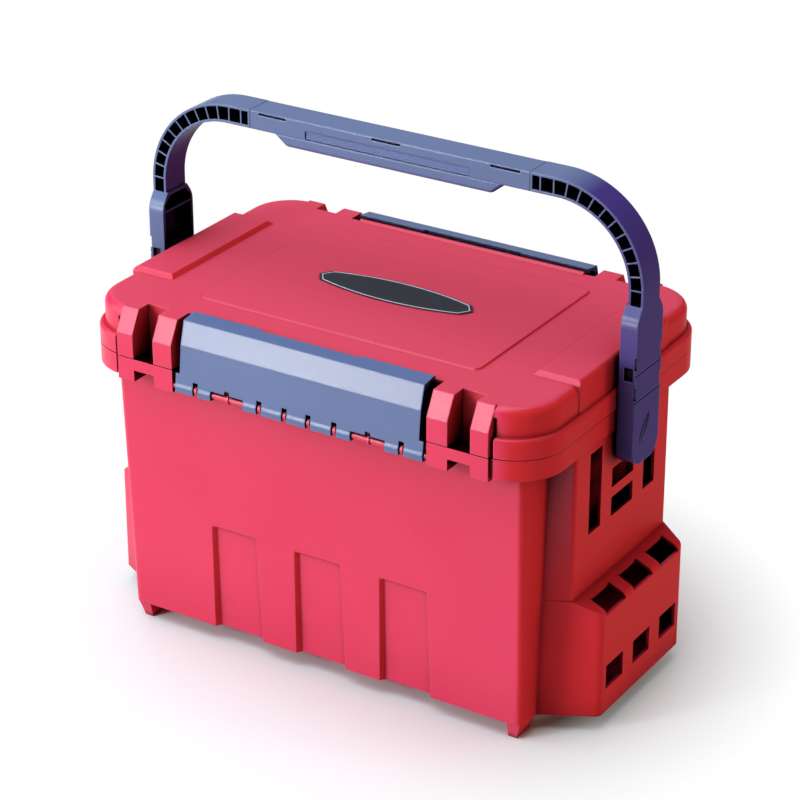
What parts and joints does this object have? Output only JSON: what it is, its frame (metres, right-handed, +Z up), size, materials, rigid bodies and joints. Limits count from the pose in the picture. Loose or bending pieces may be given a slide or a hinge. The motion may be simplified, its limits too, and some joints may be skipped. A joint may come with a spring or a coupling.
{
  "type": "seat box",
  "caption": "Moulded tackle seat box with ribbed handle, buckled hinged lid to sit on and slotted side racks for rod stands.",
  "frame": {"origin": "centre of the box on the floor that its feet stand on", "axes": "+X along the long front to the right end, +Y from the front to the rear, +Z up"},
  "size_m": [0.54, 0.3342, 0.5035],
  "materials": {
    "red_plastic": "satin moulded red",
    "blue_plastic": "satin moulded blue",
    "emblem": "gloss dark",
    "dark_plastic": "satin black"
  },
  "bodies": {
    "tub": {"tub": "red_plastic", "rim_front": "red_plastic", "rim_rear": "red_plastic", "rim_left": "red_plastic", "rim_right": "red_plastic", "foot_front_left": "red_plastic", "foot_front_right": "red_plastic", "foot_rear_left": "red_plastic", "foot_rear_right": "red_plastic", "rack_panel_left": "red_plastic", "rack_panel_right": "red_plastic", "rack_block_left": "red_plastic", "rack_block_right": "red_plastic", "pivot_stud_left": "dark_plastic", "pivot_stud_right": "dark_plastic"},
    "lid": {"lid": "red_plastic", "emblem_plate": "emblem"},
    "handle": {"handle_arm_left": "blue_plastic", "handle_arm_right": "blue_plastic", "grip_bar": "blue_plastic", "palm_grip": "blue_plastic"},
    "front_buckle": {"front_buckle": "blue_plastic"},
    "rear_buckle": {"rear_buckle": "blue_plastic"}
  },
  "joints": [
    {"name": "lid_hinge", "type": "hinge", "parent": "tub", "child": "lid", "pos_m": [0, 0.136, 0.3445], "axis": [-1, 0, 0], "range_deg": [0, 95]},
    {"name": "handle_fold", "type": "hinge", "parent": "tub", "child": "handle", "pos_m": [0, 0, 0.27], "axis": [-1, 0, 0], "range_deg": [0, 90]},
    {"name": "front_buckle_hinge", "type": "hinge", "parent": "tub", "child": "front_buckle", "pos_m": [0, -0.1618, 0.2842], "axis": [1, 0, 0], "range_deg": [0, 150]},
    {"name": "rear_buckle_hinge", "type": "hinge", "parent": "tub", "child": "rear_buckle", "pos_m": [0, 0.1618, 0.2842], "axis": [-1, 0, 0], "range_deg": [0, 150]}
  ],
  "couplings": [
    {"joint": "handle_fold", "follows": "lid_hinge", "ratio": 0.947},
    {"joint": "front_buckle_hinge", "follows": "lid_hinge", "ratio": 1.578}
  ]
}
